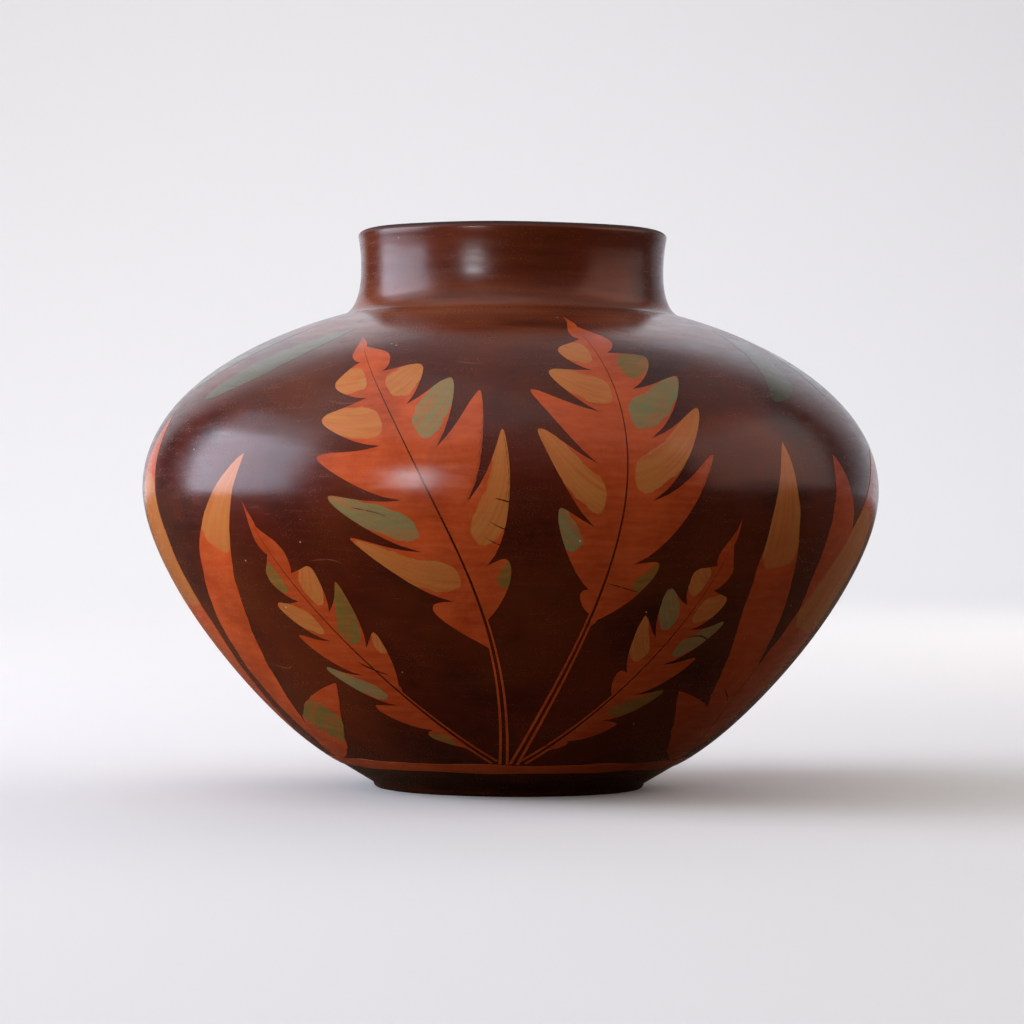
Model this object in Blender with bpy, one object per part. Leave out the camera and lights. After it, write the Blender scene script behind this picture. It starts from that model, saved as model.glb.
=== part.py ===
"""A hand-built pottery vase, made of clay coils joined edge to edge. Metres, +Z up.

The pot stands on the origin. Its wall is drawn once, as an outer and an inner curve through a few
knots, and cut into the lumps of clay that a potter joins: a base slab, wall coils, a neck and a lip.
"""

import math

import bmesh
import bpy
from mathutils import Vector
from mathutils.geometry import interpolate_bezier

# Heights, stacked from the table up
FOOT_HEIGHT = 0.006
BELLY_RISE = 0.0745
SHOULDER_RISE = 0.0474
NECK_RISE = 0.0112
LIP_RISE = 0.0099
LIP_CROWN = 0.0016

# Radii of the outside
BASE_RADIUS = 0.037
FOOT_FLARE = 0.008
BELLY_RADIUS = 0.100
NECK_RADIUS = 0.0415
NECK_FLARE = 0.0045
LIP_FLARE = 0.0008

# Clay thicknesses and small roundings
BODY_WALL = 0.006
NECK_WALL = 0.005
FLOOR = 0.009
FLOOR_CORNER = 0.005
FOOT_EDGE = 0.0012

# Lean of the wall above the horizontal, where it leaves the foot, reaches the neck and ends at the lip
FOOT_LEAN = math.radians(23)
NECK_LEAN = math.radians(165)
LIP_LEAN = math.radians(80)
UPRIGHT = math.radians(90)

# How far each stretch of wall keeps its direction at its two ends, as a share of its own chord
LOWER_FULLNESS = (0.215, 0.26)
SHOULDER_FULLNESS = (0.36, 0.33)
NECK_FULLNESS = (0.2, 0.55)
LIP_FULLNESS = (0.4, 0.4)

# Coils and the joints between them
LOWER_COILS = 5
SHOULDER_COILS = 5
JOINT_RIDGE = 0.0015
JOINT_GAP = 0.0003

# Facets
SHARP = math.radians(35)
TURN_STEPS = 60
COIL_STEPS = 2
NECK_STEPS = 5
LIP_STEPS = 3
LIP_ROUND_STEPS = 6
FINE_STEPS = 400
MERGE = 0.00001

# Colours of the burnished slip and of the bare clay under the base
DARK_SLIP = (0.040, 0.010, 0.005, 1)
BARE_CLAY = (0.230, 0.075, 0.030, 1)
BURNISH = 0.3
MATT = 0.75


def knot(radius, height, lean, wall):
    """A place on the outside of the wall, with the wall's direction there and the inside opposite it."""
    outer = Vector((radius, height))
    way = Vector((math.cos(lean), math.sin(lean)))
    return outer, way, outer + way.orthogonal() * wall


def wall_knots():
    """The five knots of the wall: foot, belly, shoulder, neck and lip."""
    belly = FOOT_HEIGHT + BELLY_RISE
    shoulder = belly + SHOULDER_RISE
    neck = shoulder + NECK_RISE
    lip = neck + LIP_RISE
    return (
        knot(BASE_RADIUS + FOOT_FLARE, FOOT_HEIGHT, FOOT_LEAN, BODY_WALL),
        knot(BELLY_RADIUS, belly, UPRIGHT, BODY_WALL),
        knot(NECK_RADIUS + NECK_FLARE, shoulder, NECK_LEAN, NECK_WALL),
        knot(NECK_RADIUS, neck, UPRIGHT, NECK_WALL),
        knot(NECK_RADIUS + LIP_FLARE, lip, LIP_LEAN, NECK_WALL),
    )


def curve(start, start_way, end, end_way, fullness):
    """Fine points along a smooth curve that leaves start and reaches end in the given directions."""
    chord = (end - start).length
    leave = start + start_way * chord * fullness[0]
    reach = end - end_way * chord * fullness[1]
    return interpolate_bezier(start, leave, reach, end, FINE_STEPS)


def even_places(points, steps):
    """Indexes of points that cut a finely drawn curve into equal lengths."""
    lengths = [0]
    for before, after in zip(points, points[1:]):
        lengths.append(lengths[-1] + (after - before).length)
    marks = [lengths[-1] * step / steps for step in range(steps + 1)]
    return [min(range(len(points)), key=lambda i: abs(lengths[i] - mark)) for mark in marks]


def stretch(lower, upper, fullness, steps):
    """The outer and inner points of the wall between two knots, level with each other."""
    outer = curve(lower[0], lower[1], upper[0], upper[1], fullness)
    inner = curve(lower[2], lower[1], upper[2], upper[1], fullness)
    places = even_places(outer, steps)
    return [outer[i] for i in places], [inner[i] for i in places]


def joint(outer, inner, shift):
    """The ridge across the wall where two pieces meet, from outside to inside, moved along the wall."""
    across = outer - inner
    up = across.orthogonal().normalized()
    crest = (outer + inner) / 2 + up * JOINT_RIDGE
    return [point + up * shift for point in (outer, crest, inner)]


def top_joint(outer, inner):
    return joint(outer[-1], inner[-1], -JOINT_GAP / 2)


def bottom_joint(outer, inner):
    return joint(outer[0], inner[0], JOINT_GAP / 2)[::-1]


def ring_profile(outer, inner):
    """The closed section of a coil, with a ridge on its top edge and a groove in its bottom edge."""
    return outer[1:-1] + top_joint(outer, inner) + inner[-2:0:-1] + bottom_joint(outer, inner)


def lip_profile(outer, inner):
    """The closed section of the lip, whose top is rounded over from outside to inside."""
    middle = (outer[-1] + inner[-1]) / 2
    across = outer[-1] - middle
    up = across.orthogonal().normalized() * LIP_CROWN
    turns = [math.pi * step / LIP_ROUND_STEPS for step in range(1, LIP_ROUND_STEPS)]
    top = [middle + across * math.cos(turn) + up * math.sin(turn) for turn in turns]
    return outer[1:] + top + inner[:0:-1] + bottom_joint(outer, inner)


def slab_profile(outer, inner):
    """The base slab's half section, from the middle of its underside round to the middle of the floor."""
    seat = joint(outer[0], inner[0], -JOINT_GAP / 2)
    floor_edge = seat[-1].x - FLOOR_CORNER
    underside = [Vector((0, 0)), Vector((BASE_RADIUS - FOOT_EDGE, 0)), Vector((BASE_RADIUS, FOOT_EDGE))]
    return underside + seat + [Vector((floor_edge, FLOOR)), Vector((0, FLOOR))]


def clay(name, colour, roughness):
    """A clay or slip finish."""
    material = bpy.data.materials.new(name)
    material.use_nodes = True
    shader = material.node_tree.nodes["Principled BSDF"]
    shader.inputs["Base Color"].default_value = colour
    shader.inputs["Roughness"].default_value = roughness
    shader.inputs["Metallic"].default_value = 0
    material.diffuse_color = colour
    return material


def turned(name, profile, closed, pot, material):
    """A piece turned round the pot's axis from its section, placed at the height of its lowest point."""
    seat = min(point.y for point in profile)
    section = bmesh.new()
    verts = [section.verts.new((point.x, 0, point.y - seat)) for point in profile]
    ends = verts[1:] + verts[:1] if closed else verts[1:]
    edges = [section.edges.new(pair) for pair in zip(verts, ends)]
    bmesh.ops.spin(
        section,
        geom=verts + edges,
        axis=(0, 0, 1),
        cent=(0, 0, 0),
        angle=math.tau,
        steps=TURN_STEPS,
        use_merge=True,
    )
    bmesh.ops.remove_doubles(section, verts=section.verts, dist=MERGE)
    bmesh.ops.recalc_face_normals(section, faces=section.faces)
    mesh = bpy.data.meshes.new(name)
    section.to_mesh(mesh)
    section.free()
    mesh.shade_smooth()
    mesh.set_sharp_from_angle(angle=SHARP)
    mesh.materials.append(material)
    piece = bpy.data.objects.new(name, mesh)
    piece.location.z = seat
    piece.parent = pot
    bpy.context.collection.objects.link(piece)


def wall_coils(outer, inner, first, count, pot):
    """Equal coils that share out one stretch of the wall, numbered from the bottom."""
    for coil in range(count):
        span = slice(coil * COIL_STEPS, (coil + 1) * COIL_STEPS + 1)
        name = f"wall_coil_{first + coil}"
        slip = clay(f"{name}_slip", DARK_SLIP, BURNISH)
        turned(name, ring_profile(outer[span], inner[span]), True, pot, slip)


def main():
    for old in list(bpy.data.objects):
        bpy.data.objects.remove(old)
    pot = bpy.data.objects.new("pottery_vase", None)
    bpy.context.collection.objects.link(pot)

    foot, belly, shoulder, neck, lip = wall_knots()
    lower = stretch(foot, belly, LOWER_FULLNESS, LOWER_COILS * COIL_STEPS)
    upper = stretch(belly, shoulder, SHOULDER_FULLNESS, SHOULDER_COILS * COIL_STEPS)
    collar = stretch(shoulder, neck, NECK_FULLNESS, NECK_STEPS)
    rim = stretch(neck, lip, LIP_FULLNESS, LIP_STEPS)

    turned("base_slab", slab_profile(*lower), False, pot, clay("base_slab_clay", BARE_CLAY, MATT))
    wall_coils(*lower, 1, LOWER_COILS, pot)
    wall_coils(*upper, 1 + LOWER_COILS, SHOULDER_COILS, pot)
    turned("neck_collar", ring_profile(*collar), True, pot, clay("neck_collar_slip", DARK_SLIP, BURNISH))
    turned("lip_coil", lip_profile(*rim), True, pot, clay("lip_coil_slip", DARK_SLIP, BURNISH))


main()
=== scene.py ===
import math

import bmesh
import bpy
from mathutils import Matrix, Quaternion, Vector, noise
from mathutils.geometry import interpolate_bezier


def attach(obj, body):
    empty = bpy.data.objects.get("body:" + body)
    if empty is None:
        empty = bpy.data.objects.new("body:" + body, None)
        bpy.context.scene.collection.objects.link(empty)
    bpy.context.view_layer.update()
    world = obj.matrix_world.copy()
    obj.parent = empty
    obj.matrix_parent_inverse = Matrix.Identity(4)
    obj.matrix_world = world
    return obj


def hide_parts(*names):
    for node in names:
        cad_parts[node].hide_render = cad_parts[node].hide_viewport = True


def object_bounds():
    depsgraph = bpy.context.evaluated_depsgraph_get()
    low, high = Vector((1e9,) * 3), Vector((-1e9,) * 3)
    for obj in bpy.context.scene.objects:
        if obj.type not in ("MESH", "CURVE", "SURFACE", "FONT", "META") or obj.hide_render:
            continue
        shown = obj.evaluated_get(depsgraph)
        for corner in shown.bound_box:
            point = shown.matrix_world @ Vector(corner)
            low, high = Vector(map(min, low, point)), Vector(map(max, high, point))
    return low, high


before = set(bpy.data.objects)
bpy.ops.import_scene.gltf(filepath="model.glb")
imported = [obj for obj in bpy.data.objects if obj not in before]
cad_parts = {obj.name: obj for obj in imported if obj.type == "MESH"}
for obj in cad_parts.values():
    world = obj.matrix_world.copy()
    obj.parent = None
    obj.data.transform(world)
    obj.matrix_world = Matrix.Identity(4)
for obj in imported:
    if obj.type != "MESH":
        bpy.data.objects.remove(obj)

cadLow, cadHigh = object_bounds()        # the CAD box, before any piece is added
millimetre = 0.001
merge = 1e-6        # metres; points nearer than this are one
tiny = 1e-9        # metres; slack for counting along a line
print("frame loaded:", len(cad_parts), "nodes")

# Camera, from the photograph: how far the lens is, where the pot's axis and the eye level fall
photo = {
    "size": 1024,
    "axisX": 510.5,
    "eyeY": 506.0,
    "focalPixels": 3600.0,
    "pixelSize": 0.27166 * millimetre,        # on the pot's axis
    "eyeHeight": 76.2 * millimetre,
    "sensor": 36.0,
    "roll": 0.4,        # degrees, clockwise
    "nearest": 0.01,        # metres from the lens at which things start to show
}


def makeCamera(shot):
    middle = shot["size"] / 2
    lens = bpy.data.cameras.new("photo_camera")
    lens.sensor_width = shot["sensor"]
    lens.lens = shot["sensor"] * shot["focalPixels"] / shot["size"]
    lens.clip_start = shot["nearest"]
    camera = bpy.data.objects.new("photo_camera", lens)
    away = shot["focalPixels"] * shot["pixelSize"]
    aside = (middle - shot["axisX"]) * shot["pixelSize"]
    camera.location = (aside, -away, shot["eyeHeight"])
    aim = Vector((aside, 0, shot["eyeHeight"] - (middle - shot["eyeY"]) * shot["pixelSize"]))
    camera.rotation_mode = "QUATERNION"
    turn = (aim - camera.location).to_track_quat("-Z", "Y")
    camera.rotation_quaternion = turn @ Quaternion((0, 0, 1), math.radians(shot["roll"]))
    bpy.context.scene.collection.objects.link(camera)
    bpy.context.scene.camera = camera


makeCamera(photo)
print("camera set")

# Shape of the wall: the same knots as the CAD part, a hair inside it so that the painted slip fits its box
pot = {
    "inset": 0.25 * millimetre,
    "footHeight": 6 * millimetre,
    "footRadius": 45 * millimetre,
    "baseRadius": 37 * millimetre,
    "footEdge": 1.4 * millimetre,
    "bellyHeight": 80.5 * millimetre,
    "bellyRadius": cadHigh.x,
    "shoulderHeight": 127.9 * millimetre,
    "shoulderRadius": 46 * millimetre,
    "neckHeight": 139.1 * millimetre,
    "neckRadius": 41.5 * millimetre,
    "lipHeight": 149 * millimetre,
    "lipRadius": 42.3 * millimetre,
    "lipCrown": 1.35 * millimetre,
    "bodyWall": 6 * millimetre,
    "neckWall": 5 * millimetre,
    "floor": 9 * millimetre,
    "floorCorner": 5 * millimetre,
    "footLean": 23,        # degrees above the horizontal
    "upright": 90,
    "neckLean": 165,
    "lipLean": 80,
    "lowerFullness": (0.215, 0.26),
    "shoulderFullness": (0.36, 0.33),
    "neckFullness": (0.2, 0.55),
    "lipFullness": (0.4, 0.4),
    "lowerCoils": 5,
    "shoulderCoils": 5,
    "jointRidge": 1.4 * millimetre,
    "jointGap": 0.1 * millimetre,
    "bareLevel": 0.99,        # faces this level and this low are unslipped clay
    "bareBelow": 9.9 * millimetre,
    "turnSteps": 288,
    "lineSteps": 600,
    "wallStep": 1.6 * millimetre,
    "fewestSteps": 4,        # up one coil
    "edgeSteps": 5,
    "footSteps": 4,
    "dishSteps": 8,
    "neckSteps": 16,
    "lipSteps": 9,
    "crownSteps": 14,
}

# Hand-built unevenness, always inwards
handWork = {
    "wobble": 0.45 * millimetre,
    "swellShare": 0.42,
    "swellRound": 1.1,
    "swellUp": 14,        # swells in a metre
    "rippleShare": 0.1,
    "rippleRound": 4.0,
    "rippleUp": 60,
    "rippleSeed": 7,
    "trueFoot": 8 * millimetre,        # the wobble grows from nothing over this height
    "lipDip": 0.4 * millimetre,
    "dipRound": 1.6,
    "dipSeed": 3,
}


def wallKnot(radius, height, lean, wall):
    way = Vector((math.cos(math.radians(lean)), math.sin(math.radians(lean))))
    outer = Vector((radius, height)) + way.orthogonal() * pot["inset"]
    return outer, way, outer + way.orthogonal() * (wall - 2 * pot["inset"])


def wallStretch(low, high, fullness):
    sides = []
    for side in (0, 2):
        chord = (high[side] - low[side]).length
        leave = low[side] + low[1] * chord * fullness[0]
        reach = high[side] - high[1] * chord * fullness[1]
        sides.append(interpolate_bezier(low[side], leave, reach, high[side], pot["lineSteps"]))
    return sides


def lengthsAlong(points):
    lengths = [0.0]
    for before, after in zip(points, points[1:]):
        lengths.append(lengths[-1] + (after - before).length)
    return lengths


def evenly(sides, steps):
    lengths = lengthsAlong(sides[0])
    places, i = [], 0
    for step in range(steps + 1):
        mark = lengths[-1] * step / steps
        while i < len(lengths) - 1 and lengths[i] < mark - tiny:
            i += 1
        places.append(i)
    return [sides[0][i] for i in places], [sides[1][i] for i in places]


footKnot = wallKnot(pot["footRadius"], pot["footHeight"], pot["footLean"], pot["bodyWall"])
bellyKnot = wallKnot(pot["bellyRadius"], pot["bellyHeight"], pot["upright"], pot["bodyWall"])
shoulderKnot = wallKnot(pot["shoulderRadius"], pot["shoulderHeight"], pot["neckLean"], pot["neckWall"])
neckKnot = wallKnot(pot["neckRadius"], pot["neckHeight"], pot["upright"], pot["neckWall"])
lipKnot = wallKnot(pot["lipRadius"], pot["lipHeight"], pot["lipLean"], pot["neckWall"])
lowerWall = wallStretch(footKnot, bellyKnot, pot["lowerFullness"])
shoulderWall = wallStretch(bellyKnot, shoulderKnot, pot["shoulderFullness"])
neckWall = wallStretch(shoulderKnot, neckKnot, pot["neckFullness"])
lipWall = wallStretch(neckKnot, lipKnot, pot["lipFullness"])

# The outside as one line from the foot to the lip, for everything that is painted on it
outsideLine = lowerWall[0] + shoulderWall[0][1:] + neckWall[0][1:] + lipWall[0][1:]
outsideLengths = lengthsAlong(outsideLine)
print(f"wall line: {outsideLengths[-1] / millimetre:.1f} mm along the outside, from the foot to the lip")


def waver(side, around, height):
    return noise.noise(Vector((side.x * around, side.y * around, height)))


def handMade(place):
    # Low swells that a scraped and burnished coil pot keeps, never outside the turned shape
    radius = Vector((place.x, place.y)).length
    if radius < merge:
        return place
    side = Vector((place.x / radius, place.y / radius, 0))
    swell = waver(side, handWork["swellRound"], place.z * handWork["swellUp"])
    ripple = waver(side, handWork["rippleRound"], place.z * handWork["rippleUp"] + handWork["rippleSeed"])
    depth = handWork["wobble"] * (0.5 + handWork["swellShare"] * swell + handWork["rippleShare"] * ripple)
    grip = min(1.0, place.z / handWork["trueFoot"])
    rise = max(0.0, min(1.0, (place.z - pot["neckHeight"]) / (pot["lipHeight"] - pot["neckHeight"])))
    dip = handWork["lipDip"] * rise * (0.5 + 0.5 * waver(side, handWork["dipRound"], handWork["dipSeed"]))
    return place - side * depth * grip - Vector((0, 0, dip))


def lineAt(along):
    low, high = 0, len(outsideLengths) - 1
    while high - low > 1:
        middle = (low + high) // 2
        if outsideLengths[middle] <= along:
            low = middle
        else:
            high = middle
    before, after = outsideLine[low], outsideLine[high]
    share = (along - outsideLengths[low]) / (outsideLengths[high] - outsideLengths[low])
    return before.lerp(after, share), (after - before).normalized()


def onPot(angle, along, lift):
    # A spot on the outside: degrees round from the front, metres up along the wall, metres proud of it
    spot, way = lineAt(along)
    spot = spot + Vector((way.y, -way.x)) * lift
    turn = math.radians(angle)
    return handMade(Vector((spot.x * math.sin(turn), -spot.x * math.cos(turn), spot.y)))


def jointLine(outer, inner, drop):
    across = outer - inner
    up = across.orthogonal().normalized()
    return [outer, (outer + inner) / 2 + up * (pot["jointRidge"] - drop), inner]


def turnRound(shape, verts, edges):
    bmesh.ops.spin(shape, geom=verts + edges, axis=(0, 0, 1), cent=(0, 0, 0), angle=math.tau,
                   steps=pot["turnSteps"], use_merge=True)


def finishPiece(name, shape, materials, sharp):
    bmesh.ops.recalc_face_normals(shape, faces=shape.faces)
    mesh = bpy.data.meshes.new(name)
    shape.to_mesh(mesh)
    shape.free()
    mesh.shade_smooth()
    if sharp:
        mesh.set_sharp_from_angle(angle=math.radians(sharp))
    for material in materials:
        mesh.materials.append(material)
    piece = bpy.data.objects.new(name, mesh)
    bpy.context.scene.collection.objects.link(piece)
    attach(piece, "root")
    return piece


def turnClay(name, node, outline, closed, materials, seams):
    # One lump of clay, turned from its section; faces that look inwards, and the floor, are the second finish
    shape = bmesh.new()
    verts = [shape.verts.new((point.x, 0, point.y)) for point in outline]
    ends = verts[1:] + verts[:1] if closed else verts[1:]
    edges = [shape.edges.new(pair) for pair in zip(verts, ends)]
    turnRound(shape, verts, edges)
    bmesh.ops.remove_doubles(shape, verts=shape.verts, dist=merge)
    bmesh.ops.recalc_face_normals(shape, faces=shape.faces)
    for face in shape.faces:
        middle = face.calc_center_median()
        inward = face.normal.x * middle.x + face.normal.y * middle.y < 0
        level = abs(face.normal.z) > pot["bareLevel"] and middle.z < pot["bareBelow"]
        face.material_index = 1 if inward or level else 0
    shape.verts.index_update()

    # At a seam the shading follows the whole wall, so that the joint doesn't show
    seamWays = {}
    for vert in shape.verts:
        for spot, way in seams:
            aside, above = math.hypot(vert.co.x, vert.co.y) - spot.x, vert.co.z - spot.y
            if abs(aside) < 2 * merge and abs(above) < 2 * merge:
                seamWays[vert.index] = way
    for vert in shape.verts:
        vert.co = handMade(vert.co)
    piece = finishPiece(name, shape, materials, 0)
    mesh = piece.data
    normals = [Vector(normal.vector) for normal in mesh.vertex_normals]
    for i, way in seamWays.items():
        place = mesh.vertices[i].co
        around = math.hypot(place.x, place.y)
        normals[i] = Vector((way.y * place.x / around, way.y * place.y / around, -way.x))
    mesh.normals_split_custom_set_from_vertices(normals)
    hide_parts(node)
    return piece


def wayAt(points, i):
    before, after = max(i - 1, 0), min(i + 1, len(points) - 1)
    return (points[after] - points[before]).normalized()


def seamsOf(outer, inner, lowWay, highWay):
    return [(outer[0], lowWay), (outer[-1], highWay), (inner[0], -lowWay), (inner[-1], -highWay)]


def ringOutline(outer, inner):
    top = jointLine(outer[-1], inner[-1], pot["jointGap"])
    bottom = jointLine(outer[0], inner[0], 0)[::-1]
    return outer[1:-1] + top + inner[-2:0:-1] + bottom


def wallCoils(sides, ends, first, count, materials):
    # ends are the wall's exact directions at the foot and head of this stretch
    perCoil = max(pot["fewestSteps"], round(lengthsAlong(sides[0])[-1] / count / pot["wallStep"]))
    outer, inner = evenly(sides, perCoil * count)
    for coil in range(count):
        low, high = coil * perCoil, (coil + 1) * perCoil
        out, back = outer[low:high + 1], inner[low:high + 1]
        lowWay = wayAt(outer, low) if coil else ends[0]
        highWay = wayAt(outer, high) if coil < count - 1 else ends[1]
        seams = seamsOf(out, back, lowWay, highWay)
        number = first + coil
        turnClay(f"clay_coil_{number}", f"wall_coil_{number}", ringOutline(out, back), True, materials, seams)


def makeClay(materials):
    seat = jointLine(lowerWall[0][0], lowerWall[1][0], pot["jointGap"])
    edge, base = pot["footEdge"], pot["baseRadius"] - pot["inset"]
    quarter = [i * math.pi / (2 * pot["edgeSteps"]) for i in range(pot["edgeSteps"] + 1)]
    rounding = [Vector((base - edge + edge * math.sin(t), edge - edge * math.cos(t))) for t in quarter]
    floorEdge = seat[-1].x - pot["floorCorner"]
    rings = pot["dishSteps"]
    dish = [Vector((floorEdge * (rings - i) / rings, pot["floor"])) for i in range(rings + 1)]
    under = [Vector((0, 0)), Vector((base / 2, 0))]
    footSide = [rounding[-1].lerp(seat[0], i / pot["footSteps"]) for i in range(1, pot["footSteps"])]
    slab = under + rounding + footSide + seat + dish
    turnClay("clay_base", "base_slab", slab, False, materials, [(seat[0], footKnot[1])])

    lowerEnds, shoulderEnds = (footKnot[1], bellyKnot[1]), (bellyKnot[1], shoulderKnot[1])
    wallCoils(lowerWall, lowerEnds, 1, pot["lowerCoils"], materials)
    wallCoils(shoulderWall, shoulderEnds, 1 + pot["lowerCoils"], pot["shoulderCoils"], materials)

    outer, inner = evenly(neckWall, pot["neckSteps"])
    turnClay("clay_neck", "neck_collar", ringOutline(outer, inner), True, materials,
             seamsOf(outer, inner, shoulderKnot[1], neckKnot[1]))

    outer, inner = evenly(lipWall, pot["lipSteps"])
    middle = (outer[-1] + inner[-1]) / 2
    across = outer[-1] - middle
    up = across.orthogonal().normalized() * pot["lipCrown"]
    half = [i * math.pi / pot["crownSteps"] for i in range(1, pot["crownSteps"])]
    crown = [middle + across * math.cos(t) + up * math.sin(t) for t in half]
    lip = outer[1:] + crown + inner[:0:-1] + jointLine(outer[0], inner[0], 0)[::-1]
    turnClay("clay_lip", "lip_coil", lip, True, materials,
             [(outer[0], neckKnot[1]), (inner[0], -neckKnot[1])])


# Materials

def linear(hexColour):
    channels = [int(hexColour[i:i + 2], 16) / 255 for i in (1, 3, 5)]
    return tuple(c / 12.92 if c <= 0.04045 else ((c + 0.055) / 1.055) ** 2.4 for c in channels) + (1,)


def perMetre(size):
    return 1 / (size * millimetre)        # pattern scale for a real size in millimetres


def addNode(tree, kind, inputs, output=0, **settings):
    # Each input is a plain value or another node's output
    node = tree.nodes.new("ShaderNode" + kind)
    for key, value in settings.items():
        setattr(node, key, value)
    for key, value in inputs.items():
        if isinstance(value, bpy.types.NodeSocket):
            tree.links.new(value, node.inputs[key])
        else:
            node.inputs[key].default_value = value
    return node.outputs[output]


def newFinish(name):
    material = bpy.data.materials.new(name)
    material.use_nodes = True
    return material, material.node_tree


# What rubbing with a stone leaves on every slip; sizes and depths in millimetres
rubbing = {
    "ior": 1.41,        # low gloss of slip that was never glazed
    "stretch": 0.16,        # streaks and waves run level
    "driftSize": 11,
    "rubDepth": 0.02,
    "waveDepth": 0.3,
    "flawDepth": 0.04,
    "pitShow": 0.8,
    "smooth": 0.03,
    "dull": 0.05,
    "gritDull": 0.25,
    "hairLong": 34,
    "hairApart": 1,
    "hairStart": (0.013, 0.0046, 0),
    "bend": 15,
    "bendSize": 24,
    "breakSize": 1.5,
}


def unrolled(tree, spot):
    # The wall laid flat: metres round from the front, metres up
    aside = addNode(tree, "SeparateXYZ", {"Vector": spot}, "X")
    front = addNode(tree, "Math", {0: aside.node.outputs["Y"], 1: -1.0}, operation="MULTIPLY")
    turn = addNode(tree, "Math", {0: aside, 1: front}, operation="ARCTAN2")
    around = addNode(tree, "Math", {0: turn, 1: pot["bellyRadius"]}, operation="MULTIPLY")
    return addNode(tree, "CombineXYZ", {"X": around, "Y": aside.node.outputs["Z"]})


def hairlines(tree, spot, look):
    # A few short thin scratches, each at its own slant and broken here and there
    bend = addNode(tree, "TexNoise", {"Vector": spot, "Scale": perMetre(rubbing["bendSize"]), "Detail": 1},
                   "Color")
    push = (0, rubbing["bend"] * millimetre, 0)
    shifted = addNode(tree, "VectorMath", {0: bend, 1: push, 2: unrolled(tree, spot)},
                      operation="MULTIPLY_ADD")
    tilt = (0, 0, math.radians(look["hairTilt"]))
    cellSize = (rubbing["hairLong"] * millimetre, rubbing["hairApart"] * millimetre, 1)
    laid = addNode(tree, "Mapping", {"Vector": shifted, "Location": rubbing["hairStart"], "Rotation": tilt,
                                     "Scale": cellSize}, vector_type="TEXTURE")
    cell = addNode(tree, "TexVoronoi", {"Vector": laid, "Scale": 1.0}, "Distance", voronoi_dimensions="2D")
    chance = addNode(tree, "SeparateColor", {"Color": cell.node.outputs["Color"]}, "Red")
    kept = addNode(tree, "Math", {0: chance, 1: look["hairShare"]}, operation="LESS_THAN")
    thin = addNode(tree, "MapRange", {"Value": cell, "From Min": 0.17, "From Max": 0.12,
                                      "To Max": look["hairShow"]})
    worn = addNode(tree, "TexNoise", {"Vector": spot, "Scale": perMetre(rubbing["breakSize"]), "Detail": 2})
    broken = addNode(tree, "MapRange", {"Value": worn, "From Min": 0.3, "From Max": 0.42})
    line = addNode(tree, "Math", {0: kept, 1: broken}, operation="MULTIPLY")
    return addNode(tree, "Math", {0: line, 1: thin}, operation="MULTIPLY")


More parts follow.
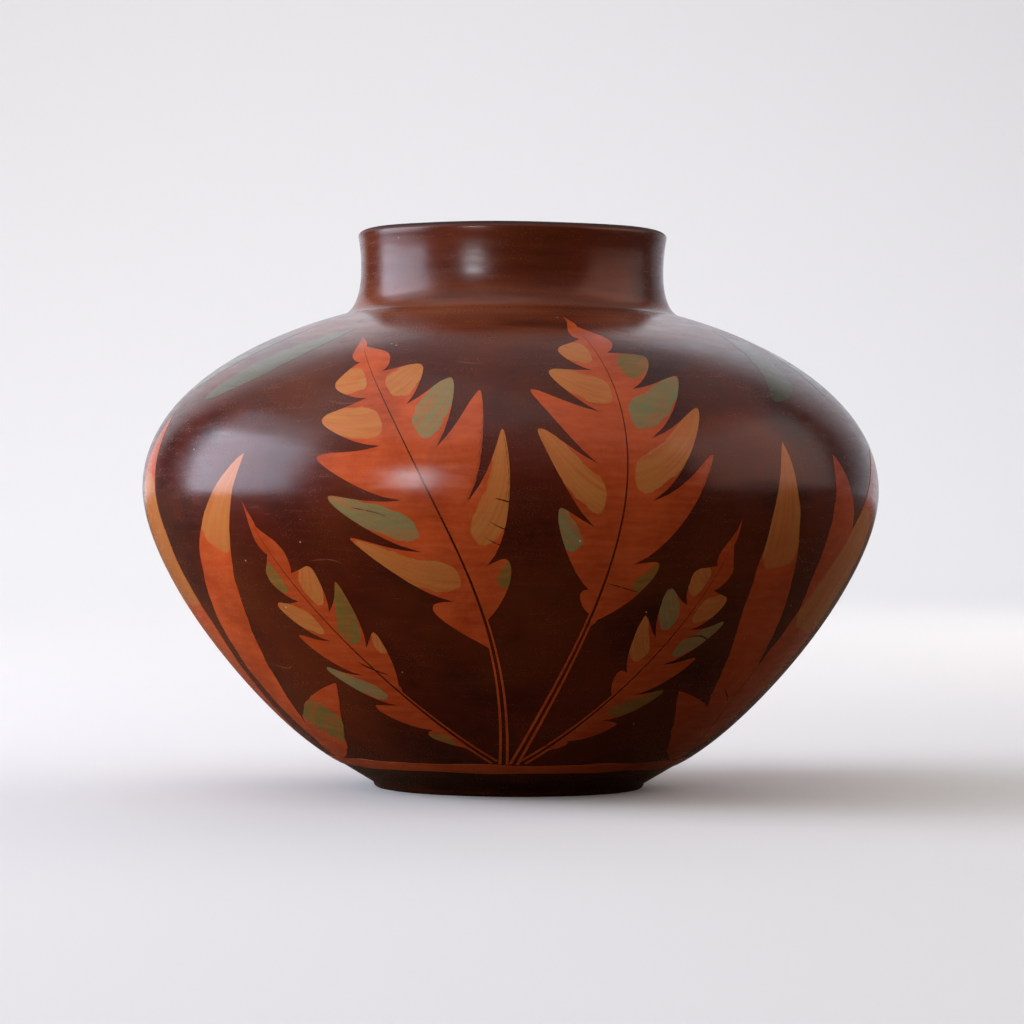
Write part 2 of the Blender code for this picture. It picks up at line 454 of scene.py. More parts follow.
def burnish(tree, look, ground, matt=None):
    # Over any slip: level streaks, fine speckle, rare pits, hairlines, low waves; matt marks unrubbed spots
    shader = tree.nodes["Principled BSDF"]
    spot = addNode(tree, "TexCoord", {}, "Object")
    level = addNode(tree, "Mapping", {"Vector": spot, "Scale": (rubbing["stretch"], rubbing["stretch"], 1)})
    streak = addNode(tree, "TexNoise", {"Vector": level, "Scale": perMetre(look["streakSize"]), "Detail": 3})
    rubbed = addNode(tree, "MapRange", {"Value": streak, "From Min": 0.38, "From Max": 0.7,
                                        "To Max": look["streakShow"]})
    streaked = addNode(tree, "Mix", {0: rubbed, 6: ground, 7: linear(look["pale"])}, 2, data_type="RGBA")

    # The real silt is finer and is drawn at this size so that it shows
    grit = addNode(tree, "TexVoronoi", {"Vector": spot, "Scale": perMetre(look["gritSpacing"])}, "Distance")
    grains = addNode(tree, "MapRange", {"Value": grit, "From Min": 0.36, "From Max": 0.16})
    drift = addNode(tree, "TexNoise", {"Vector": spot, "Scale": perMetre(rubbing["driftSize"]), "Detail": 3})
    dense = addNode(tree, "MapRange", {"Value": drift, "From Min": 0.3, "From Max": 0.65,
                                       "To Max": look["gritShow"]})
    dots = addNode(tree, "Math", {0: grains, 1: dense}, operation="MULTIPLY")
    speckled = addNode(tree, "Mix", {0: dots, 6: streaked, 7: linear(look["grit"])}, 2, data_type="RGBA")

    pit = addNode(tree, "TexVoronoi", {"Vector": spot, "Scale": perMetre(look["pitSpacing"])}, "Distance")
    holes = addNode(tree, "MapRange", {"Value": pit, "From Min": 0.032, "From Max": 0.02,
                                       "To Max": rubbing["pitShow"]})
    pitted = addNode(tree, "Mix", {0: holes, 6: speckled, 7: linear(look["pit"])}, 2, data_type="RGBA")
    hair = hairlines(tree, spot, look)
    scratched = addNode(tree, "Mix", {0: hair, 6: pitted, 7: linear(look["hair"])}, 2, data_type="RGBA")
    tree.links.new(scratched, shader.inputs["Base Color"])

    gloss = addNode(tree, "MapRange", {"Value": streak, "From Min": 0.3, "From Max": 0.7,
                                       "To Min": look["roughness"] - rubbing["smooth"],
                                       "To Max": look["roughness"] + rubbing["dull"]})
    worn = addNode(tree, "Math", {0: dots, 1: rubbing["gritDull"], 2: gloss}, operation="MULTIPLY_ADD")
    if matt:
        worn = addNode(tree, "Mix", {0: matt, 2: worn, 3: bareClay["roughness"]})
    tree.links.new(worn, shader.inputs["Roughness"])

    rub = addNode(tree, "Bump", {"Height": streak, "Strength": 0.35,
                                 "Distance": rubbing["rubDepth"] * millimetre})
    wave = addNode(tree, "TexNoise", {"Vector": level, "Scale": perMetre(look["waveSize"]), "Detail": 1})
    swell = addNode(tree, "Bump", {"Height": wave, "Normal": rub, "Strength": 0.6,
                                   "Distance": rubbing["waveDepth"] * millimetre})
    marks = addNode(tree, "Math", {0: holes, 1: hair}, operation="MAXIMUM")
    flaws = addNode(tree, "Math", {0: marks, 1: dots}, operation="MAXIMUM")
    sunk = addNode(tree, "Bump", {"Height": flaws, "Normal": swell, "Strength": 0.5,
                                  "Distance": rubbing["flawDepth"] * millimetre}, invert=True)
    tree.links.new(sunk, shader.inputs["Normal"])
    shader.inputs["IOR"].default_value = rubbing["ior"]


def cloudy(tree, look):
    # Slip brushed on unevenly: thick and thin clouds of two tones
    spot = addNode(tree, "TexCoord", {}, "Object")
    cloud = addNode(tree, "TexNoise", {"Vector": spot, "Scale": perMetre(look["cloudSize"]), "Detail": 8,
                                       "Roughness": 0.7})
    tone = addNode(tree, "MapRange", {"Value": cloud, "From Min": 0.35, "From Max": 0.65})
    return addNode(tree, "Mix", {0: tone, 6: linear(look["deep"]), 7: linear(look["main"])}, 2,
                   data_type="RGBA")


def burnishedSlip(name, look):
    # Coloured clay slip rubbed with a stone: satin gloss over an uneven, faintly streaked ground
    material, tree = newFinish(name)
    burnish(tree, look, cloudy(tree, look))
    return material


def groundSlip(name, look, thin, clay=None):
    # Near-black maroon slip, browner in clouds, thin and redder round the neck's root, matt on the lip's
    # edge, with painted shade darkening it towards the foot and a painted dark reflection darkening the lip's
    # edge;
    # inside, it stops in the throat on bare clay
    material, tree = newFinish(name)
    spot = addNode(tree, "TexCoord", {}, "Object")
    level = addNode(tree, "SeparateXYZ", {"Vector": spot}, "Z")
    sway = addNode(tree, "TexNoise", {"Vector": spot, "Scale": perMetre(thin["waveSize"]), "Detail": 3})
    height = addNode(tree, "Math", {0: sway, 1: 2 * thin["sway"], 2: level}, operation="MULTIPLY_ADD")

    patch = addNode(tree, "TexNoise", {"Vector": spot, "Scale": perMetre(thin["patchSize"]), "Detail": 2})
    brown = addNode(tree, "MapRange", {"Value": patch, "From Min": 0.42, "From Max": 0.68,
                                       "To Max": thin["brownShow"]})
    ground = addNode(tree, "Mix", {0: brown, 6: cloudy(tree, look), 7: linear(thin["brown"])}, 2,
                     data_type="RGBA")

    stretch = (thin["brushStretch"], thin["brushStretch"], 1)
    turned = addNode(tree, "Mapping", {"Vector": spot, "Scale": stretch})
    bristle = addNode(tree, "TexNoise", {"Vector": turned, "Scale": perMetre(thin["brushSize"]), "Detail": 3})
    brushed = addNode(tree, "MapRange", {"Value": bristle, "From Min": 0.3, "From Max": 0.7, "To Min": 0.2})
    rise = addNode(tree, "MapRange", {"Value": height, "From Min": thin["start"], "From Max": thin["full"]},
                   interpolation_type="SMOOTHSTEP")
    fall = addNode(tree, "MapRange", {"Value": height, "From Min": thin["fadeStart"],
                                      "From Max": thin["fadeEnd"], "To Min": 1.0, "To Max": thin["neckShow"]})
    zone = addNode(tree, "Math", {0: rise, 1: fall}, operation="MULTIPLY")
    faint = addNode(tree, "Math", {0: zone, 1: brushed}, operation="MULTIPLY")
    ground = addNode(tree, "Mix", {0: faint, 6: ground, 7: linear(thin["main"])}, 2, data_type="RGBA")

    # Painted shade: darker towards the foot; painted dark reflection: a dark band on the lip's edge, which is
    # also matt
    footShade = addNode(tree, "MapRange", {"Value": height, "From Min": thin["foot"] + thin["footFade"],
                                       "From Max": thin["foot"]})
    worn = addNode(tree, "MapRange", {"Value": level, "From Min": thin["rim"] - thin["rimFade"],
                                      "From Max": thin["rim"]})
    paintedShadeMask = addNode(tree, "Math", {0: footShade, 1: worn}, operation="MAXIMUM")
    ground = addNode(tree, "Mix", {0: paintedShadeMask, 6: ground, 7: linear(thin["paintedShadeTone"])}, 2, data_type="RGBA")
    if clay:
        bare = addNode(tree, "MapRange", {"Value": height, "From Min": clay["slipEdge"] + clay["edgeBlur"],
                                          "From Max": clay["slipEdge"] - clay["edgeBlur"]})
        ground = addNode(tree, "Mix", {0: bare, 6: ground, 7: cloudy(tree, clay)}, 2, data_type="RGBA")
        worn = addNode(tree, "Math", {0: bare, 1: worn}, operation="MAXIMUM")
    burnish(tree, look, ground, worn)
    return material


filmLayers = ("vein", "reach", "tone", "pick")        # what each painted spot tells its finish
slipLetters = "rosg"        # red, ochre, sage, olive: what a finger's stroke is painted with


def brushedSlip(name, looks, stroke):
    # Red slip; a finger or a blade may carry one round-ended stroke of another slip, all burnished together
    material, tree = newFinish(name)
    vein, reach, tone, pick = (addNode(tree, "Attribute", {}, "Fac", attribute_name=layer)
                               for layer in filmLayers)
    spot = addNode(tree, "TexCoord", {}, "Object")
    tremor = addNode(tree, "TexNoise", {"Vector": spot, "Scale": perMetre(stroke["shakeSize"]), "Detail": 4})
    shake = addNode(tree, "Math", {0: tremor, 1: 0.5}, operation="SUBTRACT")
    shaken = addNode(tree, "Math", {0: shake, 1: stroke["shake"], 2: vein}, operation="MULTIPLY_ADD")
    finger = addNode(tree, "Math", {0: shaken}, operation="FLOOR")
    drift = addNode(tree, "TexWhiteNoise", {"W": finger}, "Value", noise_dimensions="1D")

    # The stroke is a rounded bar in shares of the finger's width and length
    fold = addNode(tree, "Math", {0: shaken, 1: 0.5}, operation="PINGPONG")
    off = addNode(tree, "Math", {0: 0.5, 1: fold}, operation="SUBTRACT")
    sideways = addNode(tree, "Math", {0: off, 1: stroke["wide"] / 2}, operation="DIVIDE")
    across = addNode(tree, "Math", {0: sideways, 1: stroke["squareness"]}, operation="POWER")
    middle = addNode(tree, "Math", {0: drift, 1: stroke["drift"], 2: stroke["middle"]},
                     operation="MULTIPLY_ADD")
    ahead = addNode(tree, "Math", {0: reach, 1: middle}, operation="SUBTRACT")
    apart = addNode(tree, "Math", {0: ahead}, operation="ABSOLUTE")
    lengthways = addNode(tree, "Math", {0: apart, 1: stroke["long"] / 2}, operation="DIVIDE")
    down = addNode(tree, "Math", {0: lengthways, 1: stroke["squareness"]}, operation="POWER")
    out = addNode(tree, "Math", {0: across, 1: down}, operation="ADD")
    mask = addNode(tree, "MapRange", {"Value": out, "From Min": 1.06, "From Max": 0.94})

    hairs = addNode(tree, "Math", {0: vein, 1: stroke["bristles"]}, operation="MULTIPLY")
    drawn = addNode(tree, "CombineXYZ", {"X": hairs, "Y": reach})
    bristle = addNode(tree, "TexNoise", {"Vector": drawn, "Scale": stroke["bristleScale"], "Detail": 3})
    load = addNode(tree, "MapRange", {"Value": bristle, "From Min": 0.34, "From Max": 0.6,
                                      "To Min": stroke["thinnest"], "To Max": stroke["thickest"]})
    shown = addNode(tree, "Math", {0: mask, 1: load}, operation="MULTIPLY")
    red = looks["red"]
    colour = addNode(tree, "Mix", {0: tone, 6: cloudy(tree, red), 7: linear(red["deep"])}, 2,
                     data_type="RGBA")
    for letter, slip in stroke["slips"].items():
        number = slipLetters.index(letter)
        chosen = addNode(tree, "Math", {0: pick, 1: number, 2: 0.4}, operation="COMPARE")
        laid = addNode(tree, "Math", {0: chosen, 1: shown}, operation="MULTIPLY")
        colour = addNode(tree, "Mix", {0: laid, 6: colour, 7: linear(looks[slip])}, 2, data_type="RGBA")
    burnish(tree, red, colour)
    return material


# Colours in hex, sizes in millimetres, shares from 0 to 1
slips = {
    "dark": {"main": "#531505", "deep": "#2c0903", "pale": "#6b2810", "grit": "#7d4b34", "pit": "#b59684",
             "hair": "#7d4a34", "cloudSize": 26, "streakSize": 1.4, "waveSize": 7, "gritSpacing": 0.5,
             "pitSpacing": 9, "hairTilt": -4, "streakShow": 0.12, "gritShow": 0.2, "hairShow": 0.5,
             "hairShare": 0.006, "roughness": 0.23},
    "red": {"main": "#c04e21", "deep": "#9a3610", "pale": "#cb6c3c", "grit": "#742e14", "pit": "#d8b79c",
            "hair": "#2c0d06", "cloudSize": 18, "streakSize": 1.2, "waveSize": 7, "gritSpacing": 0.5,
            "pitSpacing": 9, "hairTilt": -16, "streakShow": 0.2, "gritShow": 0.34, "hairShow": 0.92,
            "hairShare": 0.03, "roughness": 0.2},
    "ochre": "#b06e34",
    "sage": "#6f764c",
    "olive": "#635c28",
}
slips["green"] = {**slips["red"], "main": "#4b4c30", "deep": "#43331c", "pale": "#5b5a3c", "grit": "#2d2213"}

# Where the ground is thin or brown, and where painted shade darkens the foot and a painted dark reflection
# darkens the lip's edge; heights are above the table
thinSlip = {
    "main": "#74371a",
    "brushSize": 2.4,
    "brushStretch": 0.06,
    "waveSize": 14,
    "sway": 3 * millimetre,
    "start": 117 * millimetre,
    "full": 128 * millimetre,
    "fadeStart": 133 * millimetre,
    "fadeEnd": 140 * millimetre,
    "neckShow": 0.35,
    "brown": "#5c260a",
    "brownShow": 0.6,
    "patchSize": 34,
    # painted shade at the foot and painted dark reflection on the lip's edge are mixed towards this tone
    "paintedShadeTone": "#1f0803",
    "foot": 6.5 * millimetre,
    "footFade": 5 * millimetre,
    "rim": 150 * millimetre,
    "rimFade": 0.8 * millimetre,
}
bareClay = {
    "main": "#a8674a",
    "deep": "#96573c",
    "cloudSize": 16,
    "slipEdge": 131 * millimetre,
    "edgeBlur": 0.6 * millimetre,
    "roughness": 0.88,
}

# One stroke per finger, in shares of the finger's width and length
brushStroke = {"wide": 0.66, "long": 0.86, "middle": 0.5, "drift": 0.28, "squareness": 3.4, "shake": 0.2,
               "shakeSize": 4, "bristles": 9.0, "bristleScale": 1.5, "thinnest": 0.55, "thickest": 0.97,
               "slips": {"o": "ochre", "s": "sage", "g": "olive"}}
slipFinish = {
    "green": burnishedSlip("burnished_green_slip", slips["green"]),
    "ground": groundSlip("burnished_dark_slip", slips["dark"], thinSlip),
    "inside": groundSlip("scraped_bare_clay", slips["dark"], thinSlip, bareClay),
    "red": burnishedSlip("burnished_red_slip", slips["red"]),
    "painted": brushedSlip("brushed_red_slip", slips, brushStroke),
}
print("materials made")

makeClay([slipFinish["ground"], slipFinish["inside"]])
print("clay pieces turned")

# Painted leaves, laid on as thin slip a little proud of the ground
paint = {
    "lift": 0.045 * millimetre,
    "bladeLift": 0.025 * millimetre,
    "depth": 0.3 * millimetre,
    "sharp": 40,        # degrees
    "panels": 2,        # front and back
    "layer": 0.02 * millimetre,        # each leaf lies this much over the one before
    "ragged": 0.05,        # hand-painted edges, as a share of the width
    "waves": ((14, 0.5, 2), (45, 8.5, 0.7)),        # of an edge: how many, place in the noise, strength
    "seedStep": 3.7,
    "stem": 1.3 * millimetre,
    "rib": 0.55 * millimetre,
    "ribStep": 0.01,        # share of the midrib over which its direction is taken
    "stagger": 0.5,        # fingers on one side start half a finger later
    "grow": 0.16,        # share of the leaf over which its fingers reach full length
    "growForm": 0.7,
    "notch": 0.7,        # how deep the gaps between a leaf's fingers run
    "fingerForm": 0.8,        # below 1 is blunter
    "sweep": 0.14,        # how far the fingers lean to the tip, as a share of the leaf
    "leafForm": (1.1, 0.85, 4, 0.6),        # lean, fullness, where the tip narrows and how fast
    "bladeForm": 0.8,
    "bladeStem": 0.6,
    "bladeVein": (0.22, 0.56),        # where a blade's stroke starts across it, and how wide it may be
    "numbers": 30,        # fingers are numbered in steps of this, so that no two share a number
    "lobeSteps": 22,
    "fingerSteps": 12,
    "bladeSteps": (44, 8),
    "panelSeed": 10,
    "bladeSeed": 100,
    "shoulderSeed": 200,
}

# Angles in degrees from the panel's middle, heights and half widths in millimetres on the wall
lobedLeaves = [
    {"root": (-4, 8), "bend": (-28, 34), "tip": (-43, 92), "wide": 13, "lobes": 8, "bare": (0.12, 0.42),
     "tone": 0.6, "strokes": ("rgrsrogr", "rrrrogor")},
    {"root": (4, 8), "bend": (29, 34), "tip": (36, 88), "wide": 13, "lobes": 8, "bare": (0.42, 0.12),
     "tone": 0.5, "strokes": ("rrrrosor", "rorgrsor")},
    {"root": (-1.5, 7), "bend": (2, 82), "tip": (-34, 148), "wide": 25, "lobes": 10, "bare": (0.3, 0.36),
     "tone": 0.0, "strokes": ("rrrrosroor", "rrrrgorsor")},
    {"root": (1.5, 7), "bend": (24, 82), "tip": (14, 162), "wide": 24, "lobes": 10, "bare": (0.36, 0.34),
     "tone": 0.2, "strokes": ("rrrrsoroor", "rrrrgrosgr")},
]

# patch is the middle and the length of a blade's stroke, in shares of the blade; over is how high it lies
bladeLeaves = [
    {"root": (60, 10), "bend": (43, 62), "tip": (45, 108), "wide": 7.6, "tone": 0.2,
     "stroke": "o", "patch": (0.86, 0.36), "over": 1},
    {"root": (64, 40), "bend": (64, 74), "tip": (57.6, 105), "wide": 8, "tone": 0.5,
     "stroke": "r", "patch": (0.5, 0.5), "over": 2},
    {"root": (64, 12), "bend": (61, 62), "tip": (79, 107), "wide": 11, "tone": 0.3,
     "stroke": "o", "patch": (0.62, 0.36), "over": 3},
    {"root": (-63, 14), "bend": (-60.5, 62), "tip": (-43, 104), "wide": 7.4, "tone": 0.1,
     "stroke": "o", "patch": (0.88, 0.3), "over": 1},
    {"root": (-79, 12), "bend": (-74, 64), "tip": (-73, 116), "wide": 11.5, "tone": 0.1,
     "stroke": "o", "patch": (0.64, 0.36), "over": 2},
    {"root": (63, 6), "bend": (54, 17), "tip": (37, 36), "wide": 6.4, "tone": 0.5,
     "stroke": "r", "patch": (0.5, 0.5), "over": 2},
    {"root": (-65, 6), "bend": (-54, 18), "tip": (-37, 38), "wide": 6.4, "tone": 0.4,
     "stroke": "g", "patch": (0.6, 0.3), "over": 3},
]
plainBlade = {"tone": 0.0, "stroke": "r", "patch": (0.5, 0.5), "over": 1}
shoulderLeaves = [
    {**plainBlade, "root": (48, 121), "bend": (60, 131), "tip": (61, 156), "wide": 5.0},
    {**plainBlade, "root": (70, 124), "bend": (76, 138), "tip": (73, 158), "wide": 4.0},
    {**plainBlade, "root": (-62, 121), "bend": (-52, 132), "tip": (-40, 154), "wide": 5.5},
    {**plainBlade, "root": (-76, 124), "bend": (-70, 138), "tip": (-60, 158), "wide": 4.0},
]


def ribPoint(leaf, share):
    root, bend, tip = (Vector(leaf[key]) for key in ("root", "bend", "tip"))
    return root * (1 - share) ** 2 + bend * 2 * share * (1 - share) + tip * share ** 2


def leafSpot(leaf, share, side):
    # share runs along the midrib, side is metres across it; gives degrees round and metres up the wall
    here = ribPoint(leaf, share)
    ahead = ribPoint(leaf, min(share + paint["ribStep"], 1))
    behind = ribPoint(leaf, max(share - paint["ribStep"], 0))
    perDegree = math.radians(1) * lineAt(here.y * millimetre)[0].x
    way = Vector(((ahead.x - behind.x) * perDegree, (ahead.y - behind.y) * millimetre)).normalized()
    return here.x + way.y * side / perDegree, here.y * millimetre - way.x * side


def newFilm():
    film = bmesh.new()
    for layer in filmLayers:
        film.verts.layers.float.new(layer)
    return film


def layPatch(film, panelAngle, place, longSteps, wideSteps, lift, shade):
    vein, reach, tone, pick = (film.verts.layers.float[layer] for layer in filmLayers)
    made = bmesh.ops.create_grid(film, x_segments=longSteps, y_segments=wideSteps, size=0.5)
    for vert in made["verts"]:
        angle, height, vert[vein], vert[reach], letter = place(vert.co.x + 0.5, vert.co.y + 0.5)
        vert[pick] = slipLetters.index(letter)
        vert.co = onPot(panelAngle + angle, height, lift)
        vert[tone] = shade


def ragged(seed, share):
    shift = 0
    for count, level, strength in paint["waves"]:
        shift += strength * noise.noise(Vector((share * count, seed * paint["seedStep"], level)))
    return 1 + paint["ragged"] * shift


def lobedLeaf(film, leaf, panelAngle, seed, lift):
    # A broad leaf with finger lobes down both sides of a bare midrib
    wide, lobes = leaf["wide"] * millimetre, leaf["lobes"]
    lean, fullness, narrow, fast = paint["leafForm"]
    for hand in (-1, 1):
        right = hand > 0

        def place(share, out):
            full = math.sin(math.pi * share ** lean) ** fullness * (1 - share ** narrow) ** fast
            vein = lobes * share + paint["stagger"] * right
            across = 2 * (vein % 1) - 1
            finger = 1 - paint["notch"] + paint["notch"] * (1 - across * across) ** paint["fingerForm"]
            grown = min(max((share - leaf["bare"][right]) / paint["grow"], 0), 1) ** paint["growForm"]
            edge = paint["stem"] * (1 - share) + wide * full * finger * ragged(seed + hand, share) * grown
            rib = paint["rib"] * (1 - share)
            side = rib + (edge - rib) * out
            forward = paint["sweep"] * (side / wide) ** 2
            spot = leafSpot(leaf, min(share + forward, 1), hand * side)
            letter = leaf["strokes"][right][min(int(vein), lobes - 1)]
            number = vein + paint["numbers"] * seed + paint["numbers"] / 2 * right
            return *spot, number, grown * side / (paint["stem"] + wide * full), letter

        longSteps = lobes * paint["lobeSteps"]
        layPatch(film, panelAngle, place, longSteps, paint["fingerSteps"], lift, leaf["tone"])


def bladeLeaf(film, leaf, panelAngle, seed, lift):
    # A plain pointed blade
    wide = leaf["wide"] * millimetre
    middle, long = leaf["patch"]
    strokeMiddle = brushStroke["middle"] + brushStroke["drift"] / 2
    margin, span = paint["bladeVein"]

    def place(share, out):
        full = max(math.sin(math.pi * share), 0) ** paint["bladeForm"]
        stem = paint["stem"] * paint["bladeStem"] * (1 - share)
        edge = stem + wide * full * ragged(seed + (out > 0.5), share)
        reach = strokeMiddle + (share - middle) * brushStroke["long"] / long
        number = paint["numbers"] * seed + margin + span * out
        return *leafSpot(leaf, share, edge * (2 * out - 1)), number, reach, leaf["stroke"]

    layPatch(film, panelAngle, place, *paint["bladeSteps"], lift, leaf["tone"])


def layOn(name, film, finish):
    # Thickens the laid patches into closed films that reach just under the ground's surface
    bmesh.ops.remove_doubles(film, verts=film.verts, dist=2 * merge)
    bmesh.ops.dissolve_degenerate(film, edges=film.edges, dist=merge)
    for face in film.faces:
        middle = face.calc_center_median()
        face.normal_update()
        if face.normal.dot(Vector((middle.x, middle.y, middle.z - pot["bellyHeight"]))) < 0:
            face.normal_flip()
    film.normal_update()
    under = [(vert, vert.normal.copy()) for vert in film.verts]
    bmesh.ops.extrude_face_region(film, geom=film.faces[:], use_keep_orig=True)
    for vert, out in under:
        vert.co -= out * paint["depth"]
    piece = finishPiece(name, film, [finish], paint["sharp"])
    return piece


for panel in range(paint["panels"]):
    panelAngle = 360 / paint["panels"] * panel
    seed = paint["panelSeed"] * panel
    film = newFilm()
    for i, leaf in enumerate(lobedLeaves):
        lobedLeaf(film, leaf, panelAngle, seed + i, paint["lift"] + paint["layer"] * i)
    for i, leaf in enumerate(bladeLeaves):
        lift = paint["bladeLift"] * leaf["over"]
        bladeLeaf(film, leaf, panelAngle, paint["bladeSeed"] + seed + i, lift)
    layOn(f"painted_leaves_{panel + 1}", film, slipFinish["painted"])
    faint = newFilm()
    for i, leaf in enumerate(shoulderLeaves):
        lift = paint["bladeLift"] * leaf["over"]
        bladeLeaf(faint, leaf, panelAngle, paint["shoulderSeed"] + seed + i, lift)
    layOn(f"shoulder_leaves_{panel + 1}", faint, slipFinish["green"])
print("leaves painted")

baseLine = {"low": 1.6 * millimetre, "wide": 4.8 * millimetre, "sway": 0.6 * millimetre, "swayRound": 1.5,
            "swell": 0.35, "swellRound": 4, "swellSeed": 5}


def makeBaseLine(line):
    # One red line brushed round the foot, its edges wavering with the hand
    film = newFilm()
    verts = [film.verts.new((1, 0, share)) for share in (0, 0.5, 1)]
    edges = [film.edges.new(pair) for pair in zip(verts, verts[1:])]
    turnRound(film, verts, edges)
    bmesh.ops.remove_doubles(film, verts=film.verts, dist=10 * merge)
    for vert in film.verts:
        side = Vector((vert.co.x, vert.co.y, 0))
        sway = line["sway"] * noise.noise(side * line["swayRound"])
        swell = 1 + line["swell"] * noise.noise(side * line["swellRound"] + Vector((0, 0, line["swellSeed"])))
        along = line["low"] + sway + line["wide"] * (0.5 + (vert.co.z - 0.5) * swell)
        vert.co = onPot(math.degrees(math.atan2(side.x, -side.y)), along, paint["lift"])
    layOn("base_line", film, slipFinish["red"])


makeBaseLine(baseLine)
print("base line painted")

# Stage: pale floor running up into a backdrop, soft window light from the left
stage = {
    "floor": "#dbd9d7",
    "bounce": "#4f371c",        # the floor's tone to the pot
    "wall": "#eef0f4",        # the backdrop's tone to the pot, between litSpan's left and right
    "litSpan": (-1.75, 3.6),
    "litLean": 0.35,        # the lit span lies this much further left for each metre up
    "dark": "#000000",
    "matt": 0.9,
    "width": 8.0,
    "front": -3.0,
    "back": 2.2,
    "bend": 0.8,
    "bendSteps": 12,
    "height": 3.5,
}


def stageFinish(name, litColour, litSpan, lean):
    # Matt and pale to the camera; to the pot it has another tone, and is dark outside a slanting span
    material, tree = newFinish(name)
    aside = addNode(tree, "SeparateXYZ", {"Vector": addNode(tree, "TexCoord", {}, "Object")}, "X")
    slanted = addNode(tree, "Math", {0: aside.node.outputs["Z"], 1: lean, 2: aside}, operation="MULTIPLY_ADD")
    left, right = litSpan
    middle, half = (left + right) / 2, (right - left) / 2
    near = addNode(tree, "Math", {0: slanted, 1: middle, 2: half}, operation="COMPARE")
    lit = addNode(tree, "Mix", {0: near, 6: linear(stage["dark"]), 7: linear(litColour)}, 2, data_type="RGBA")
    seen = addNode(tree, "LightPath", {}, "Is Camera Ray")
    tone = addNode(tree, "Mix", {0: seen, 6: lit, 7: linear(stage["floor"])}, 2, data_type="RGBA")
    shader = tree.nodes["Principled BSDF"]
    tree.links.new(tone, shader.inputs["Base Color"])
    shader.inputs["Roughness"].default_value = stage["matt"]
    return material


def makeStage(plan):
    shape = bmesh.new()
    line = [Vector((0, plan["front"], 0)), Vector((0, plan["back"], 0))]
    for i in range(1, plan["bendSteps"] + 1):
        turn = i * math.pi / (2 * plan["bendSteps"])
        back = plan["back"] + plan["bend"] * math.sin(turn)
        line.append(Vector((0, back, plan["bend"] * (1 - math.cos(turn)))))
    line.append(Vector((0, plan["back"] + plan["bend"], plan["height"])))
    verts = [shape.verts.new((-plan["width"] / 2, point.y, point.z)) for point in line]
    edges = [shape.edges.new(pair) for pair in zip(verts, verts[1:])]
    made = bmesh.ops.extrude_edge_only(shape, edges=edges)
    bmesh.ops.translate(shape, verts=[v for v in made["geom"] if isinstance(v, bmesh.types.BMVert)],
                        vec=(plan["width"], 0, 0))
    bmesh.ops.recalc_face_normals(shape, faces=shape.faces)
    mesh = bpy.data.meshes.new("pale_floor")
    shape.to_mesh(mesh)
    shape.free()
    mesh.shade_smooth()
    mesh.materials.append(stageFinish("plain_pale_floor", plan["bounce"], (-plan["width"], plan["width"]), 0))
    mesh.materials.append(stageFinish("plain_pale_backdrop", plan["wall"], plan["litSpan"], plan["litLean"]))
    for face in mesh.polygons:
        face.material_index = 1 if face.center.y > plan["back"] else 0
    floor = bpy.data.objects.new("pale_floor", mesh)
    bpy.context.scene.collection.objects.link(floor)


makeStage(stage)

# Degrees round from the front, metres, watts; a fill lights the pot unmirrored, and the card is only mirrored
windows = [
    {"name": "backdrop_lamp", "round": -165, "away": 1.5, "up": 2.6, "wide": 3.2, "tall": 0.8, "power": 78,
     "hue": "#f8f9ff", "aim": (-0.8, 3.0, 1.6)},
    {"name": "left_window", "round": -91, "away": 1.3, "up": 0.41, "wide": 1.16, "tall": 0.82, "power": 20.5,
     "hue": "#e4ebff"},
    {"name": "left_sky", "round": -93, "away": 1.3, "up": 0.99, "wide": 1.15, "tall": 0.45, "power": 3.1,
     "hue": "#e8edff"},
    {"name": "front_window", "round": -29, "away": 2.2, "up": 0.40, "wide": 0.48, "tall": 0.58, "power": 11.5,
     "hue": "#f4f7ff"},
    {"name": "right_window", "round": 88, "away": 1.4, "up": 0.65, "wide": 1.6, "tall": 1.1, "power": 4.3,
     "hue": "#ffece4"},
    {"name": "right_card", "round": 80, "away": 1.4, "up": 0.8, "wide": 1.3, "tall": 1.3, "power": 5.6,
     "hue": "#ff895e", "lighting": False},
    {"name": "ceiling", "round": -55, "away": 0.9, "up": 1.9, "wide": 2.2, "tall": 1.8, "power": 6.5,
     "hue": "#ffffff"},
    {"name": "left_fill", "round": -84, "away": 1.3, "up": 0.6, "wide": 1.2, "tall": 0.9, "power": 7,
     "hue": "#eef1ff", "mirrored": False},
    {"name": "front_fill", "round": -48, "away": 1.6, "up": 0.45, "wide": 1.2, "tall": 0.3, "power": 5,
     "hue": "#fff3e6", "mirrored": False},
    {"name": "back_fill", "round": 135, "away": 1.5, "up": 0.75, "wide": 1.2, "tall": 0.9, "power": 8,
     "hue": "#fff6ee", "mirrored": False},
]


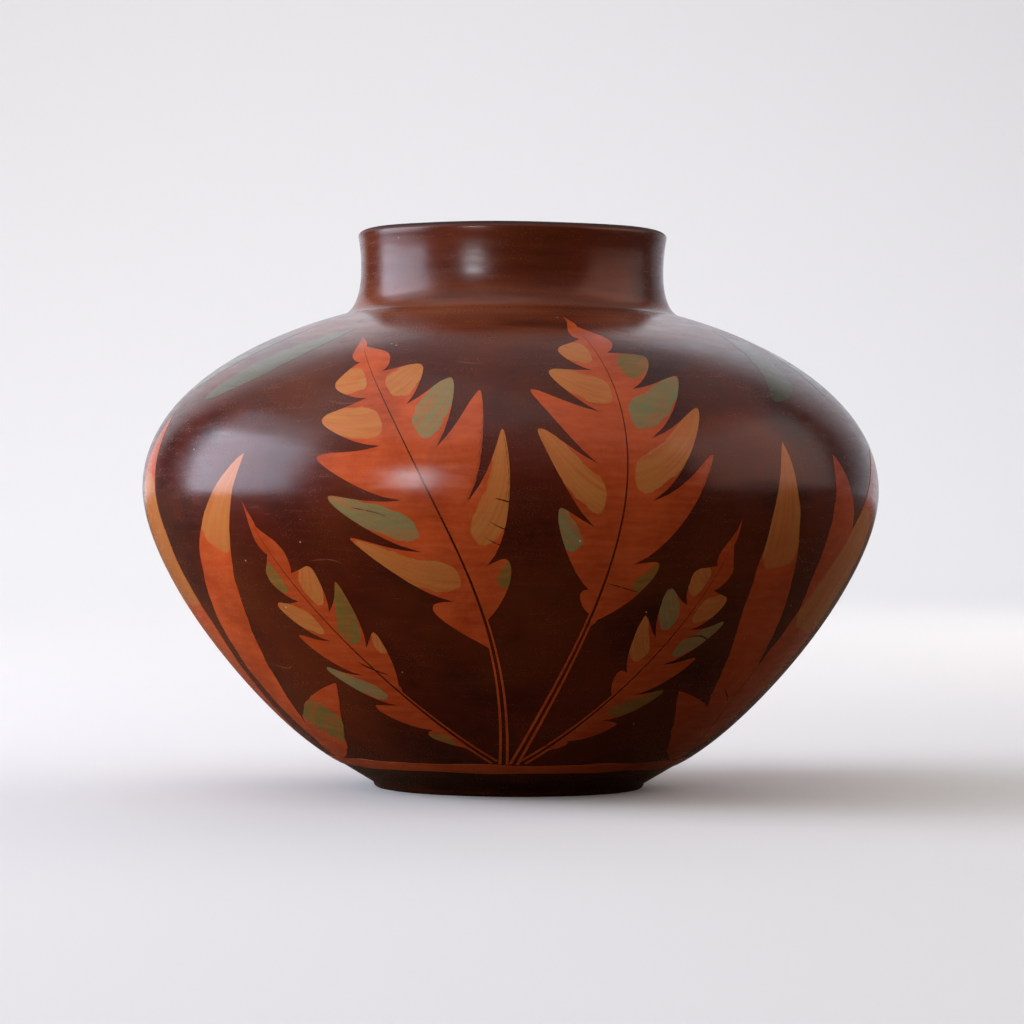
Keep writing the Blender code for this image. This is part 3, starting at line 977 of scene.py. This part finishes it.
def makeWindow(pane):
    light = bpy.data.lights.new(pane["name"], "AREA")
    light.shape = "RECTANGLE"
    light.size, light.size_y = pane["wide"], pane["tall"]
    light.energy = pane["power"]
    light.color = linear(pane["hue"])[:3]
    lamp = bpy.data.objects.new(pane["name"], light)
    turn = math.radians(pane["round"])
    lamp.location = (pane["away"] * math.sin(turn), -pane["away"] * math.cos(turn), pane["up"])
    lamp.rotation_mode = "QUATERNION"
    aim = Vector(pane.get("aim", (0, 0, pot["bellyHeight"])))
    lamp.rotation_quaternion = (aim - lamp.location).to_track_quat("-Z", "Y")
    lamp.visible_camera = False
    lamp.visible_glossy = pane.get("mirrored", True)
    lamp.visible_diffuse = pane.get("lighting", True)
    bpy.context.scene.collection.objects.link(lamp)


for window in windows:
    makeWindow(window)

# How bright the room is by direction; the From and To values are how far up or back a direction points
room = {"pale": "#f1f2f4", "front": 0.05, "up": 0.45, "upFrom": 0.2, "upTo": 0.8, "back": 0.75,
        "backFrom": 0.5, "backTo": 0.9, "seen": 0.8}


def makeWorld(look):
    # A room that is dark behind the camera and pale above and behind the pot
    world = bpy.data.worlds.new("soft_room")
    bpy.context.scene.world = world
    world.use_nodes = True
    tree = world.node_tree
    away = addNode(tree, "SeparateXYZ", {"Vector": addNode(tree, "TexCoord", {}, "Generated")}, "Y")
    above = addNode(tree, "MapRange", {"Value": away.node.outputs["Z"], "From Min": look["upFrom"],
                                       "From Max": look["upTo"], "To Min": look["front"],
                                       "To Max": look["up"]})
    behind = addNode(tree, "MapRange", {"Value": away, "From Min": look["backFrom"],
                                        "From Max": look["backTo"], "To Max": look["back"]})
    glow = addNode(tree, "Math", {0: above, 1: behind}, operation="MAXIMUM")
    seen = addNode(tree, "LightPath", {}, "Is Camera Ray")
    strength = addNode(tree, "Mix", {0: seen, 2: glow, 3: look["seen"]})
    background = tree.nodes["Background"]
    background.inputs["Color"].default_value = linear(look["pale"])
    tree.links.new(strength, background.inputs["Strength"])


makeWorld(room)
bpy.context.scene.view_settings.view_transform = "Standard"
print("stage lit")
